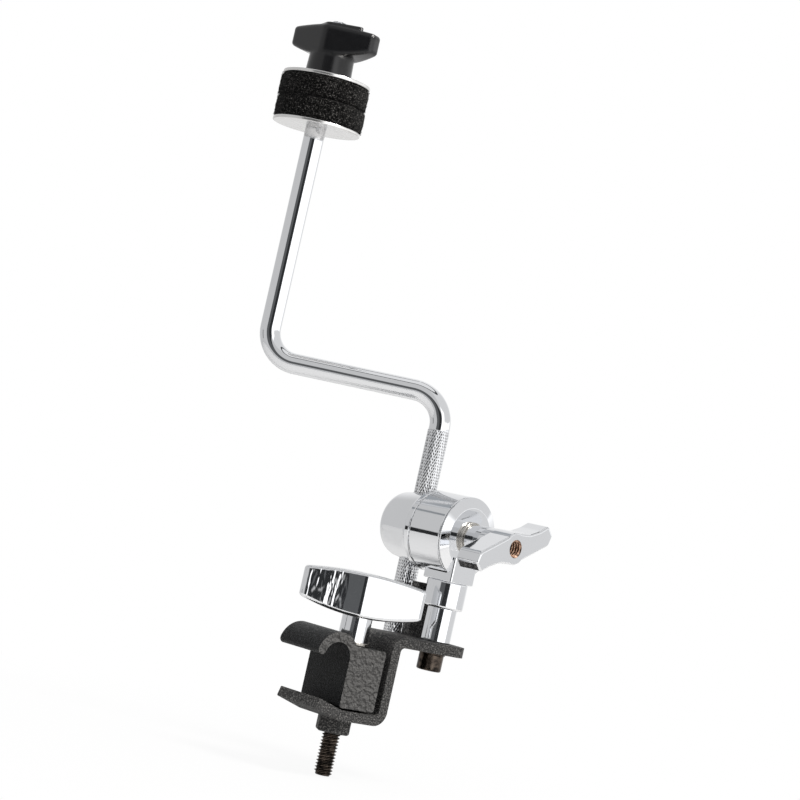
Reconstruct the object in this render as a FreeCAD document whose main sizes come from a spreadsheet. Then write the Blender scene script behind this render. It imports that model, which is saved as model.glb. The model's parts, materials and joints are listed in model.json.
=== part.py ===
"""Hoop-mounted cymbal arm: a rim clamp, a swivel clamp and a Z-shaped rod with a cymbal seat.

Frame, in millimetres: the origin is level with the flat of the lower jaw, straight below the
middle of the hook and halfway across its width. +Z is up, along the clamp screw and the rod. +X
points from the mouth of the clamp towards the post, and -Y is the front.
"""
import FreeCAD, Part
import math
import os

Vec = FreeCAD.Vector
Rot = FreeCAD.Rotation
doc = FreeCAD.newDocument("hoop_cymbal_arm")

# ---------------------------------------------------------------- driving dimensions
DIMENSIONS = {
    "Bracket": {
        "plate": 4.5,             # sheet thickness
        "bracket_width": 28.0,    # along Y
        "jaw_flat": 8.8,          # X where the lower jaw starts to rise towards the mouth
        "jaw_reach": 13.2,        # length of the rising lip, along X
        "jaw_rise": 3.7,
        "web_x": 28.7,            # inner face of the upright web
        "flange_top": 35.0,
        "flange_end": 72.9,
        "bend": 2.0,              # inside bend radius
        "tab_width": 15.0,
        "tab_top": 59.0,
        "screw_x": 17.0,          # axis of the clamp screw
        "post_x": 62.3,           # axis of the post
    },
    "Hook": {
        "hook_z": 21.5,           # centre of the hook's arch above the jaw
        "hook_inner": 6.8,
        "hook_outer": 11.0,
        "hook_tip": 163.0,        # degrees from +X round to the tip of the hook
        "block_right": 25.6,
        "block_bottom": 1.0,
        "block_top": 27.4,
        "retainer_pit": 14.0,     # counterbore for the retaining ring
        "pit_depth": 4.5,
        "thrust_thick": 1.5,      # washer between the block and the knob
    },
    "Screw": {
        "screw_dia": 7.94,        # 5/16 inch
        "screw_end": -29.9,
        "screw_clear": 8.7,       # clearance holes
        "weld_nut_flats": 14.0,
        "weld_nut_height": 6.8,
        "neck_dia": 13.2,
        "knob_bottom": 39.2,
        "knob_height": 19.4,
        "knob_end_height": 13.0,
        "knob_half_length": 26.8,
        "knob_half_depth": 8.6,
        "knob_end_depth": 8.4,
        "knob_yaw": -36.0,
    },
    "Post": {
        "post_dia": 13.6,
        "post_step": 50.0,        # height of the step to the wider part
        "post_head_dia": 18.2,
        "post_head_top": 62.0,
        "cap_head_dia": 11.0,
        "cap_head_height": 7.3,
        "cap_socket": 6.35,       # across the flats of the hexagon key
        "cap_socket_depth": 4.0,
        "lock_washer_thick": 1.2,
        "stem_dia": 10.0,         # stem of the swivel body, pressed into the post
        "stem_depth": 7.0,
    },
    "Clamp": {
        "clamp_z": 82.5,          # height of the clamp axis
        "clamp_yaw": 9.3,         # degrees the clamp axis is turned from -Y towards +X
        "ring_dia": 36.3,
        "ring_width": 17.6,
        "ring_shift": 4.2,        # middle of the ring behind the post axis
        "neck_along": 16.6,       # square neck over the post
        "neck_across": 15.8,
        "holder_end": 23.6,       # length of the rod holder behind the ring
        "rod_back": 20.3,         # rod axis behind the middle of the ring
        "seam": 0.4,
        "nut_front": 37.8,        # front of the wing nut, from the middle of the ring
        "wing_depth": 12.4,
        "hub_dia": 14.2,
        "front_wall": 2.0,        # bevelled front between the ring and the flat washer
        "front_flat_dia": 27.0,   # flat face inside the bevel
        "front_washer_dia": 14.8,
        "front_washer_thick": 1.6,
        "bolt_hole": 9.0,
        "spring_pit": 13.0,
        "spring_pit_depth": 5.0,
        "eye_dia": 15.6,          # head of the eye bolt
        "eye_half": 7.4,
        "bush_dia": 12.4,
        "spring_wire": 1.1,
        "spring_coil": 5.6,       # radius to the middle of the wire
        "spring_turns": 4.5,
    },
    "Rod": {
        "rod_dia": 9.5,
        "knurl_dia": 9.8,
        "rod_below": 56.0,        # rod end below the clamp axis
        "rod_corner": 60.0,       # lower corner above the clamp axis
        "rod_shift": 86.0,        # distance between the two upright legs
        "rod_upper": 107.4,       # upper leg, corner to seat
        "rod_bend": 14.5,
        "rod_yaw": 131.9,         # degrees from +X to the direction of the upper leg
        "stud_dia": 8.0,
        "stud_length": 50.0,
    },
    "Seat": {
        "washer_dia": 40.6,
        "washer_thick": 1.5,
        "felt_dia": 41.2,
        "felt_thick": 10.2,
        "felt_hole": 13.2,
        "sleeve_dia": 12.4,
        "collar_dia": 21.5,
        "collar_height": 10.6,
        "nut_height": 24.9,
        "nut_half_length": 22.2,
        "nut_end_depth": 7.2,     # width of the wings at their ends
        "nut_rise": 4.4,          # how much the underside of the wings rises to their ends
        "plateau": 1.2,           # height of the raised top of the wings
        "plateau_inset": 5.2,     # distance of its ends from the ends of the wings
        "plateau_side": 1.2,      # and of its sides from the sides of the wings
        "insert_dia": 11.0,
        "nut_yaw": -22.0,         # degrees from the direction of the upper leg to the wings
    },
    "Fits": {
        "running": 0.05,          # radial clearance of parts that turn or slide on each other
        "free": 0.35,             # radial clearance of parts that do not touch
    },
}

sheet = doc.addObject("Spreadsheet::Sheet", "Dims")
row = 1
for group, entries in DIMENSIONS.items():
    sheet.set(f"A{row}", group)
    row += 1
    for alias, size in entries.items():
        sheet.set(f"A{row}", alias)
        sheet.set(f"B{row}", str(size))
        sheet.setAlias(f"B{row}", alias)
        row += 1
doc.recompute()


def dim(alias):
    return float(sheet.get(alias))


def bind(feature, **links):
    """Tie properties of a feature to expressions of the spreadsheet."""
    for name, expression in links.items():
        feature.setExpression(name.replace("__", "."), expression)


# ---------------------------------------------------------------- frames
clamp_yaw = math.radians(dim("clamp_yaw"))
CLAMP_AXIS = Vec(math.sin(clamp_yaw), -math.cos(clamp_yaw), 0)
UP = Vec(0, 0, 1)
POST_AXIS = Vec(dim("post_x"), 0, 0)
SCREW_AXIS = Vec(dim("screw_x"), 0, 0)
RING_MIDDLE = POST_AXIS + UP * dim("clamp_z") - CLAMP_AXIS * dim("ring_shift")


def clamp_place():
    """Local Z along the clamp axis towards the wing nut, local Y up, origin inside the ring."""
    turn = Rot(UP.cross(CLAMP_AXIS), UP, CLAMP_AXIS, "ZXY")
    return FreeCAD.Placement(RING_MIDDLE, turn)


def rod_place():
    """Local X towards the upper leg, local Z up, origin where the rod crosses the clamp axis."""
    crossing = RING_MIDDLE - CLAMP_AXIS * dim("rod_back")
    return FreeCAD.Placement(crossing, Rot(UP, dim("rod_yaw")))


def seat_place():
    """Local Z up the upper leg, origin under the lower washer."""
    rod = rod_place()
    seat = rod.multVec(Vec(dim("rod_shift"), 0, dim("rod_corner") + dim("rod_upper")))
    return FreeCAD.Placement(seat, rod.Rotation)


# ---------------------------------------------------------------- modelling helpers
nodes = []


def new_body(label, place=None):
    body = doc.addObject("PartDesign::Body", label)
    if place is not None:
        body.Placement = place
    nodes.append(body)
    return body


def origin_plane(body, role):
    return next(f for f in body.Origin.OriginFeatures if f.Role == role)


def new_sketch(body, role, offset=0.0):
    sketch = body.newObject("Sketcher::SketchObject", body.Label + "_sketch")
    sketch.AttachmentSupport = [(origin_plane(body, role), "")]
    sketch.MapMode = "FlatFace"
    sketch.AttachmentOffset = FreeCAD.Placement(Vec(0, 0, offset), Rot())
    return sketch


def outline(sketch, corners):
    """Closed outline from corners (x, y, rounding radius)."""
    count = len(corners)
    points = [Vec(c[0], c[1], 0) for c in corners]
    pieces = []
    for i, corner in enumerate(corners):
        before, here, after = points[i - 1], points[i], points[(i + 1) % count]
        radius = corner[2] if len(corner) > 2 else 0.0
        if radius <= 0:
            pieces.append((here, None, here))
            continue
        to_before = (before - here).normalize()
        to_after = (after - here).normalize()
        half = to_before.getAngle(to_after) / 2
        reach = radius / math.tan(half)
        start, end = here + to_before * reach, here + to_after * reach
        bisector = (to_before + to_after).normalize()
        centre = here + bisector * (radius / math.sin(half))
        pieces.append((start, centre - bisector * radius, end))
    edges = []
    for i, (start, middle, end) in enumerate(pieces):
        if middle is not None:
            edges.append(Part.Arc(start, middle, end))
        following = pieces[(i + 1) % count][0]
        if end.distanceToPoint(following) > 1e-6:
            edges.append(Part.LineSegment(end, following))
    for edge in edges:
        sketch.addGeometry(edge, False)


def circle(sketch, x, y, radius):
    sketch.addGeometry(Part.Circle(Vec(x, y, 0), UP, radius), False)


def pad(body, sketch, length, midplane=False, back=False):
    feature = body.newObject("PartDesign::Pad", body.Label + "_pad")
    feature.Profile = sketch
    if isinstance(length, str):
        bind(feature, Length=length)
    else:
        feature.Length = length
    feature.SideType = "Symmetric" if midplane else "One side"
    feature.Reversed = back
    sketch.Visibility = False
    return feature


def pocket(body, sketch, length=None, back=False):
    """Cut a sketch: through everything on both sides, or to a length on one side."""
    feature = body.newObject("PartDesign::Pocket", body.Label + "_cut")
    feature.Profile = sketch
    if length is None:
        feature.Type = 1
        feature.SideType = "Symmetric"
    elif isinstance(length, str):
        bind(feature, Length=length)
    else:
        feature.Length = length
    feature.Reversed = back
    sketch.Visibility = False
    return feature


def revolve(body, corners):
    """Solid of revolution about local Z from corners (radius, z, rounding)."""
    sketch = new_sketch(body, "XZ_Plane")
    outline(sketch, corners)
    feature = body.newObject("PartDesign::Revolution", body.Label + "_turned")
    feature.Profile = sketch
    feature.ReferenceAxis = (sketch, ["V_Axis"])
    feature.Angle = 360
    sketch.Visibility = False
    return feature


def dress(body, kind, size, wanted):
    """Fillet or chamfer the edges of the body that the test picks out."""
    doc.recompute()
    tip = body.Tip
    names = [f"Edge{i}" for i, edge in enumerate(tip.Shape.Edges, 1) if wanted(edge)]
    feature = body.newObject("PartDesign::" + kind, f"{body.Label}_{kind.lower()}")
    feature.Base = (tip, names)
    if kind == "Fillet":
        feature.Radius = size
    else:
        feature.Size = size
    return feature


def is_upright(edge):
    ends = [v.Point for v in edge.Vertexes]
    return (len(ends) == 2 and abs(ends[0].x - ends[1].x) < 1e-6
            and abs(ends[0].y - ends[1].y) < 1e-6)


def ring(label, outer, inner, low, high, place, soften=0.3):
    """Plain washer or tube."""
    body = new_body(label, place)
    revolve(body, [(inner, low, 0), (outer, low, soften), (outer, high, soften), (inner, high, 0)])
    return body


# ---------------------------------------------------------------- rim clamp
def build_bracket():
    """One plate bent into a jaw, a web and a flange, with an ear behind the post."""
    plate, width = dim("plate"), dim("bracket_width")
    web, top, end = dim("web_x"), dim("flange_top"), dim("flange_end")
    inside, outside = dim("bend"), dim("bend") + plate
    lip_start, rise = dim("jaw_flat"), dim("jaw_rise")
    lip_end = lip_start - dim("jaw_reach")
    slope = math.atan2(rise, dim("jaw_reach"))
    under = Vec(-math.sin(slope), -math.cos(slope), 0) * plate
    kink = plate * math.tan(slope / 2)

    body = new_body("hoop_bracket")
    profile = new_sketch(body, "XZ_Plane")
    outline(profile, [
        (lip_end, rise, 0.6), (lip_start, 0, 3.0), (web, 0, inside), (web, top, outside),
        (end, top), (end, top - plate), (web + plate, top - plate, inside),
        (web + plate, -plate, outside), (lip_start - kink, -plate, 3.0),
        (lip_end + under.x, rise + under.y, 0.6)])
    pad(body, profile, "Dims.bracket_width", midplane=True)

    ear = new_sketch(body, "YZ_Plane", dim("post_x") - dim("tab_width") / 2 - 0.5)
    back = width / 2
    front = back - plate
    outline(ear, [
        (front - 3, top - plate / 2), (back, top - plate / 2), (back, dim("tab_top"), 0.5),
        (front, dim("tab_top"), 0.5), (front, top, inside), (front - 3, top)])
    pad(body, ear, "Dims.tab_width")

    def at_flange_end(edge, side):
        middle = edge.BoundBox.Center
        return is_upright(edge) and abs(middle.x - end) < 1 and middle.y * side > 0

    for side, radius in ((-1, 9.0), (1, 2.5)):
        dress(body, "Fillet", radius, lambda e, s=side: at_flange_end(e, s))

    holes = new_sketch(body, "XY_Plane")
    circle(holes, dim("screw_x"), 0, dim("screw_clear") / 2)
    circle(holes, dim("post_x"), 0, dim("screw_clear") / 2)
    pocket(body, holes)


def build_hook():
    """Extruded block with the hook that reaches over the hoop."""
    body = new_body("hook_block")
    inner, outer = dim("hook_inner"), dim("hook_outer")
    z0, left, right = dim("hook_z"), dim("hook_inner"), dim("block_right")
    low, high = dim("block_bottom"), dim("block_top")
    wall = outer - inner
    tip_angle = math.radians(dim("hook_tip"))
    crown = Vec(0, z0, 0)

    def around(radius, angle):
        return crown + Vec(math.cos(angle), math.sin(angle), 0) * radius

    meet = math.asin((high - z0) / outer)
    tip = around(inner + wall / 2, tip_angle)
    tip_end = tip + Vec(math.cos(tip_angle + math.pi / 2), math.sin(tip_angle + math.pi / 2),
                        0) * (wall / 2)
    sketch = new_sketch(body, "XZ_Plane")
    round_low, round_top = 1.2, 1.5
    half = math.pi / 2
    corner_low_left = Vec(left + round_low, low + round_low, 0)
    corner_low_right = Vec(right - round_low, low + round_low, 0)
    corner_top = Vec(right - round_top, high - round_top, 0)

    def corner_arc(centre, radius, a0, a1):
        points = [centre + Vec(math.cos(a), math.sin(a), 0) * radius for a in
                  (a0, (a0 + a1) / 2, a1)]
        return Part.Arc(*points)

    for edge in (
            Part.LineSegment(around(inner, 0), corner_low_left + Vec(-round_low, 0, 0)),
            corner_arc(corner_low_left, round_low, 2 * half, 3 * half),
            Part.LineSegment(corner_low_left + Vec(0, -round_low, 0),
                             corner_low_right + Vec(0, -round_low, 0)),
            corner_arc(corner_low_right, round_low, -half, 0),
            Part.LineSegment(corner_low_right + Vec(round_low, 0, 0),
                             corner_top + Vec(round_top, 0, 0)),
            corner_arc(corner_top, round_top, 0, half),
            Part.LineSegment(corner_top + Vec(0, round_top, 0), around(outer, meet)),
            corner_arc(crown, outer, meet, tip_angle),
            Part.Arc(around(outer, tip_angle), tip_end, around(inner, tip_angle)),
            corner_arc(crown, inner, tip_angle, 0)):
        sketch.addGeometry(edge, False)
    pad(body, sketch, "Dims.bracket_width", midplane=True)

    bore = new_sketch(body, "XY_Plane")
    circle(bore, dim("screw_x"), 0, dim("screw_clear") / 2)
    pocket(body, bore)
    pit = new_sketch(body, "XY_Plane", low)
    circle(pit, dim("screw_x"), 0, dim("retainer_pit") / 2)
    pocket(body, pit, dim("pit_depth"), back=True)


def hexagon(flats, rounding):
    corner = flats / math.sqrt(3)
    return [(corner * math.cos(math.radians(a)), corner * math.sin(math.radians(a)), rounding)
            for a in range(0, 360, 60)]


def build_weld_nut():
    body = new_body("weld_nut", FreeCAD.Placement(SCREW_AXIS, Rot()))
    sketch = new_sketch(body, "XY_Plane", -dim("plate"))
    outline(sketch, hexagon(dim("weld_nut_flats"), 2.0))
    pad(body, sketch, "Dims.weld_nut_height", back=True)
    low = -dim("plate") - dim("weld_nut_height")
    dress(body, "Fillet", 1.2, lambda e: e.BoundBox.ZMax < low + 0.01)
    bore = new_sketch(body, "XY_Plane")
    circle(bore, 0, 0, dim("screw_dia") / 2 + dim("running"))
    pocket(body, bore)


def build_clamp_screw():
    radius = dim("screw_dia") / 2
    body = new_body("clamp_screw", FreeCAD.Placement(SCREW_AXIS, Rot()))
    revolve(body, [(0, dim("screw_end")), (radius - 1.2, dim("screw_end")),
                   (radius, dim("screw_end") + 1.2), (radius, dim("knob_bottom") + 12),
                   (0, dim("knob_bottom") + 12)])

    floor = dim("block_bottom") + dim("pit_depth")
    ring("retaining_ring", dim("retainer_pit") / 2 - 0.7, radius, floor - 2.2, floor - 0.1,
         FreeCAD.Placement(SCREW_AXIS, Rot()))
    seat = dim("block_top")
    ring("thrust_washer", dim("neck_dia") / 2 + 0.9, dim("screw_clear") / 2, seat,
         seat + dim("thrust_thick"), FreeCAD.Placement(SCREW_AXIS, Rot()))


def trim_to_arch(body, half, edge_z, drop, away):
    """Cut the top (away 1) or bottom (away -1) of a wing to an arch that falls by drop at the ends."""
    past = half + 5
    fall = -away * drop * (past / half) ** 2
    ends = [Vec(-past, edge_z + fall, 0), Vec(past, edge_z + fall, 0)]
    far = [Vec(point.x, edge_z + away * 5, 0) for point in ends]
    side = new_sketch(body, "XZ_Plane")
    for edge in (Part.Arc(ends[0], Vec(0, edge_z, 0), ends[1]), Part.LineSegment(ends[1], far[1]),
                 Part.LineSegment(far[1], far[0]), Part.LineSegment(far[0], ends[0])):
        side.addGeometry(edge, False)
    pocket(body, side)


def build_clamp_knob():
    """Cast wing knob: a long diamond seen from above, thickest in the middle, on a round neck."""
    half, depth = dim("knob_half_length"), dim("knob_half_depth")
    end_depth = dim("knob_end_depth") / 2
    low, high = dim("knob_bottom"), dim("knob_bottom") + dim("knob_height")
    drop_low = (dim("knob_height") - dim("knob_end_height")) * 0.64
    drop_high = (dim("knob_height") - dim("knob_end_height")) - drop_low
    yaw = Rot(UP, dim("knob_yaw"))
    body = new_body("clamp_knob", FreeCAD.Placement(SCREW_AXIS, yaw))
    plan = new_sketch(body, "XY_Plane", low)
    outline(plan, [(half, end_depth, 3.5), (0, depth, 5), (-half, end_depth, 3.5),
                   (-half, -end_depth, 3.5), (0, -depth, 5), (half, -end_depth, 3.5)])
    pad(body, plan, "Dims.knob_height")
    for edge_z, drop, away in ((low, drop_low, -1), (high, drop_high, 1)):
        trim_to_arch(body, half, edge_z, drop, away)
    dress(body, "Fillet", 1.6, lambda e: not is_upright(e))
    neck = new_sketch(body, "XY_Plane", dim("block_top") + dim("thrust_thick"))
    circle(neck, 0, 0, dim("neck_dia") / 2)
    pad(body, neck, low - dim("block_top") - dim("thrust_thick") + 3)
    bore = new_sketch(body, "XY_Plane", dim("block_top"))
    circle(bore, 0, 0, dim("screw_dia") / 2)
    pocket(body, bore, low + 12 - dim("block_top"), back=True)


# ---------------------------------------------------------------- post
def build_post():
    """Turned post on the flange, its cap screw and lock washer."""
    place = FreeCAD.Placement(POST_AXIS, Rot())
    foot, step, top = dim("flange_top"), dim("post_step"), dim("post_head_top")
    thin, wide = dim("post_dia") / 2, dim("post_head_dia") / 2
    tap, stem, socket_floor = dim("screw_dia") / 2, dim("stem_dia") / 2, top - dim("stem_depth")
    body = new_body("post", place)
    revolve(body, [(tap, foot), (thin, foot, 0.5), (thin, step), (wide, step, 1.2),
                   (wide, top, 0.6), (stem, top), (stem, socket_floor), (tap, socket_floor)])

    under = foot - dim("plate")
    head = under - dim("lock_washer_thick")
    ring("lock_washer", dim("cap_head_dia") / 2 + 0.5, dim("screw_clear") / 2, head, under, place)
    screw = new_body("post_screw", place)
    low = head - dim("cap_head_height")
    revolve(screw, [(0, low), (dim("cap_head_dia") / 2, low, 0.8),
                    (dim("cap_head_dia") / 2, head, 0.2), (tap - 0.01, head),
                    (tap - 0.01, step - 2), (0, step - 2)])
    socket = new_sketch(screw, "XY_Plane", low)
    outline(socket, hexagon(dim("cap_socket"), 0))
    pocket(screw, socket, "Dims.cap_socket_depth", back=True)


# ---------------------------------------------------------------- swivel clamp
def build_swivel():
    """Ring, and the bevelled front with the square neck and the stem that sits in the post."""
    half, radius, bore = dim("ring_width") / 2, dim("ring_dia") / 2, dim("bolt_hole") / 2
    ring_body = new_body("swivel_ring", clamp_place())
    revolve(ring_body, [(bore, -half), (radius, -half, 0.5), (radius, half, 0.5), (bore, half)])
    seat = new_sketch(ring_body, "XY_Plane", -half)
    circle(seat, 0, 0, dim("spring_pit") / 2)
    pocket(ring_body, seat, "Dims.spring_pit_depth", back=True)

    back = half + dim("seam")
    body = new_body("swivel_body", clamp_place())
    revolve(body, [(bore, back), (radius, back, 0.2), (radius, back + 0.6, 0.3),
                   (dim("front_flat_dia") / 2, front_face(), 0.6), (bore, front_face())])
    drop = dim("clamp_z") - dim("post_head_top")
    middle, across, along = dim("ring_shift"), dim("neck_across") / 2, dim("neck_along") / 2
    neck = new_sketch(body, "XZ_Plane", bore + 5)
    outline(neck, [(across, middle + along, 1.0), (-across, middle + along, 1.0),
                   (-across, middle - along, 1.0), (across, middle - along, 1.0)])
    pad(body, neck, drop - bore - 5)
    dress(body, "Fillet", 0.4, lambda e: abs(e.BoundBox.YMin + drop) < 0.01)
    clearance = new_sketch(body, "XY_Plane", back)
    circle(clearance, 0, 0, radius + dim("free"))
    pocket(body, clearance, dim("ring_width") * 2)
    stem = new_sketch(body, "XZ_Plane", drop - 1)
    circle(stem, 0, middle, dim("stem_dia") / 2 - 0.01)
    pad(body, stem, dim("stem_depth"))


def front_face():
    """Flat face inside the bevel, where the flat washer lies."""
    return dim("ring_width") / 2 + dim("seam") + dim("front_wall")


def build_rod_holder():
    """Domed holder with a flared rim, bored for the eye bolt and crossed by the rod."""
    rim = -dim("ring_width") / 2 - dim("seam")
    end = rim - dim("holder_end")
    radius = dim("ring_dia") / 2
    cavity = dim("eye_dia") / 2 + dim("free")
    rod = -dim("rod_back")
    body = new_body("rod_holder", clamp_place())
    revolve(body, [(0, end), (14.0, end, 6.0), (16.7, rim - 4.0, 3.0), (radius, rim - 2.4, 0.5),
                   (radius, rim, 0.5), (cavity, rim), (cavity, rod - dim("eye_half") - 0.4),
                   (0, rod - dim("eye_half") - 0.4)])
    cross = new_sketch(body, "XZ_Plane")
    circle(cross, 0, rod, dim("knurl_dia") / 2 + dim("free"))
    pocket(body, cross)


def build_eye_bolt():
    """Bolt whose head is bored across for the rod and its bush."""
    rod = -dim("rod_back")
    shank = dim("screw_dia") / 2
    body = new_body("eye_bolt", clamp_place())
    revolve(body, [(0, rod - dim("eye_half")), (dim("eye_dia") / 2, rod - dim("eye_half"), 0.5),
                   (dim("eye_dia") / 2, rod + dim("eye_half"), 0.5), (shank, rod + dim("eye_half")),
                   (shank, dim("nut_front") - 6.5), (0, dim("nut_front") - 6.5)])
    cross = new_sketch(body, "XZ_Plane")
    circle(cross, 0, rod, dim("bush_dia") / 2 + dim("running"))
    pocket(body, cross)

    bush = new_body("rod_bush", rod_place())
    inside_eye = math.sqrt(dim("eye_dia") ** 2 - dim("bush_dia") ** 2) / 2
    bore = dim("knurl_dia") / 2 + dim("running")
    outer = dim("bush_dia") / 2
    revolve(bush, [(bore, -inside_eye), (outer, -inside_eye, 0.3), (outer, inside_eye, 0.3),
                   (bore, inside_eye)])


def build_release_spring():
    """Spring round the bolt that opens the clamp when the wing nut is slack."""
    wire = dim("spring_wire")
    start = -dim("rod_back") + dim("eye_half") + wire / 2
    stop = -dim("ring_width") / 2 + dim("spring_pit_depth") - wire / 2
    body = new_body("release_spring", clamp_place())
    section = new_sketch(body, "XZ_Plane")
    circle(section, dim("spring_coil"), start, wire / 2)
    spring = body.newObject("PartDesign::AdditiveHelix", "release_spring_coil")
    spring.Profile = section
    spring.ReferenceAxis = (section, ["V_Axis"])
    spring.Mode = 1
    spring.Pitch = (stop - start) / dim("spring_turns")
    spring.Turns = dim("spring_turns")
    section.Visibility = False


def build_clamp_front():
    """Flat washer and wing nut on the front of the clamp."""
    hub_start = front_face() + dim("front_washer_thick")
    ring("clamp_washer", dim("front_washer_dia") / 2, dim("bolt_hole") / 2, front_face(),
         hub_start, clamp_place())

    front, hub = dim("nut_front"), dim("hub_dia") / 2
    inner = dim("screw_dia") / 2 + dim("running")
    wings = front - dim("wing_depth")
    nut = new_body("wing_nut", clamp_place())
    arms = new_sketch(nut, "XY_Plane", wings)
    right = [(-1.0, 7.0, 3), (8.0, 7.5, 6), (14.2, 9.8, 12), (19.6, 13.0, 1.6),
             (23.4, 9.2, 1.6), (22.0, 4.4, 3)]
    outline(arms, right + [(-x, -y, r) for x, y, r in right])
    pad(nut, arms, "Dims.wing_depth")
    dress(nut, "Fillet", 1.0, lambda e: not is_upright(e))
    revolve(nut, [(inner - 0.5, hub_start), (hub - 0.7, hub_start, 0.4), (hub, wings + 2, 0),
                  (hub, front, 0.6), (inner - 0.5, front)])
    bore_sketch = new_sketch(nut, "XY_Plane", hub_start - 1)
    circle(bore_sketch, 0, 0, inner)
    pocket(nut, bore_sketch, front - hub_start + 2, back=True)


# ---------------------------------------------------------------- rod and cymbal seat
def build_rod():
    """Z-shaped rod: the centre line, the plain rod along it, the knurled leg and the stud."""
    low, corner = -dim("rod_below"), dim("rod_corner")
    shift, top = dim("rod_shift"), dim("rod_corner") + dim("rod_upper")
    bend = dim("rod_bend")
    plain = corner - bend - 1.5
    corners = [Vec(0, plain, 0), Vec(0, corner, 0), Vec(shift, corner, 0), Vec(shift, top, 0)]
    body = new_body("z_rod", rod_place())

    knurl = new_sketch(body, "XY_Plane", low)
    circle(knurl, 0, 0, dim("knurl_dia") / 2)
    pad(body, knurl, plain - low)
    dress(body, "Chamfer", 0.9, lambda e: e.BoundBox.ZMax < low + 0.01)

    path = new_sketch(body, "XZ_Plane")
    right = Vec(1, 0, 0)
    rise = Vec(0, 1, 0)
    slant = (rise - right) * (bend / math.sqrt(2))
    first, second = corners[1] + (right - rise) * bend, corners[2] + (rise - right) * bend
    for edge in (
            Part.LineSegment(corners[0], corners[1] - rise * bend),
            Part.Arc(corners[1] - rise * bend, first + slant, corners[1] + right * bend),
            Part.LineSegment(corners[1] + right * bend, corners[2] - right * bend),
            Part.Arc(corners[2] - right * bend, second - slant, corners[2] + rise * bend),
            Part.LineSegment(corners[2] + rise * bend, corners[3])):
        path.addGeometry(edge, False)
    section = new_sketch(body, "XY_Plane", plain)
    circle(section, 0, 0, dim("rod_dia") / 2)
    sweep = body.newObject("PartDesign::AdditivePipe", "z_rod_sweep")
    sweep.Profile = section
    sweep.Spine = (path, [])
    section.Visibility = path.Visibility = False

    stud = new_sketch(body, "XY_Plane", top)
    circle(stud, shift, 0, dim("stud_dia") / 2)
    pad(body, stud, "Dims.stud_length")
    end = top + dim("stud_length")
    dress(body, "Chamfer", 0.8, lambda e: e.BoundBox.ZMin > end - 0.1)


def build_seat():
    """Washers, sleeve, felts and the plastic wing nut that hold the cymbal."""
    place = seat_place()
    insert = dim("insert_dia") / 2
    washer, felt = dim("washer_thick"), dim("felt_thick")
    outer, stud = dim("washer_dia") / 2, dim("stud_dia") / 2
    seam = washer + felt
    top = seam + felt
    ring("lower_washer", outer, stud + 0.3, 0, washer, place, 0.35)
    ring("seat_sleeve", dim("sleeve_dia") / 2, stud + dim("running"), washer, top - 0.4, place)
    ring("lower_felt", dim("felt_dia") / 2, dim("felt_hole") / 2, washer, seam, place, 1.0)
    ring("upper_felt", dim("felt_dia") / 2, dim("felt_hole") / 2, seam, top, place, 1.0)
    ring("upper_washer", outer, stud + 0.4, top, top + washer, place, 0.35)

    base = top + washer
    collar_top = base + dim("collar_height")
    crown = base + dim("nut_height")
    half = dim("nut_half_length")
    depth, end_depth = dim("collar_dia") / 2, dim("nut_end_depth") / 2
    shoulder = crown - dim("plateau")
    nut = new_body("cymbal_wing_nut", place.multiply(FreeCAD.Placement(Vec(), Rot(UP, dim("nut_yaw")))))
    plan = new_sketch(nut, "XY_Plane", collar_top - 1)
    outline(plan, [(half, end_depth, 3), (0, depth, 4), (-half, end_depth, 3),
                   (-half, -end_depth, 3), (0, -depth, 4), (half, -end_depth, 3)])
    pad(nut, plan, shoulder - collar_top + 1)
    trim_to_arch(nut, half, collar_top - 1, dim("nut_rise"), -1)
    trim_to_arch(nut, half, shoulder, dim("plateau"), 1)
    dress(nut, "Fillet", 1.8, lambda e: not is_upright(e))
    short, broad = half - dim("plateau_inset"), depth - dim("plateau_side")
    raised = new_sketch(nut, "XY_Plane", shoulder - 2)
    outline(raised, [(short, -end_depth, 1.5), (0, broad, 4), (-short, end_depth, 1.5),
                     (0, -broad, 4)])
    pad(nut, raised, dim("plateau") + 2)
    dress(nut, "Fillet", 0.7, lambda e: e.BoundBox.ZMin > crown - 0.01)
    collar = new_sketch(nut, "XZ_Plane")
    outline(collar, [(insert, base), (depth, base, 0.6), (depth - 0.4, collar_top, 0.8),
                     (insert, collar_top)])
    turned = nut.newObject("PartDesign::Revolution", "collar_turned")
    turned.Profile = collar
    turned.ReferenceAxis = (collar, ["V_Axis"])
    turned.Angle = 360
    bore = new_sketch(nut, "XY_Plane", base - 1)
    circle(bore, 0, 0, insert)
    pocket(nut, bore, crown - base + 2, back=True)
    ring("nut_insert", insert, stud + dim("running"), base + 0.6, crown - 1.5, place)


for build in (build_bracket, build_weld_nut, build_hook, build_clamp_screw, build_clamp_knob,
              build_post, build_swivel, build_rod_holder, build_eye_bolt,
              build_release_spring, build_clamp_front, build_rod, build_seat):
    build()
doc.recompute()

# ---------------------------------------------------------------- output
for part in doc.Objects:
    if "Invalid" in part.State or "Error" in part.State:
        raise RuntimeError(f"{part.Label}: {part.State}")
os.makedirs("parts", exist_ok=True)
for node in nodes:
    if node.Shape.isNull() or not node.Shape.isValid():
        raise RuntimeError(f"{node.Label} has no valid shape")
    node.Shape.exportStep(f"parts/{node.Label}.step")
    box = node.Shape.BoundBox
    print(f"{node.Label:18s} {node.Shape.Volume:10.1f} mm3  solids {len(node.Shape.Solids)}  "
          f"x {box.XMin:.1f}..{box.XMax:.1f}  y {box.YMin:.1f}..{box.YMax:.1f}  "
          f"z {box.ZMin:.1f}..{box.ZMax:.1f}")
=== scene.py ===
"""Looks of the hoop-mounted cymbal arm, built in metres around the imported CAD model."""

import json
import math
import random

import bmesh
import bpy
from mathutils import Matrix, Vector, noise

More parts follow.
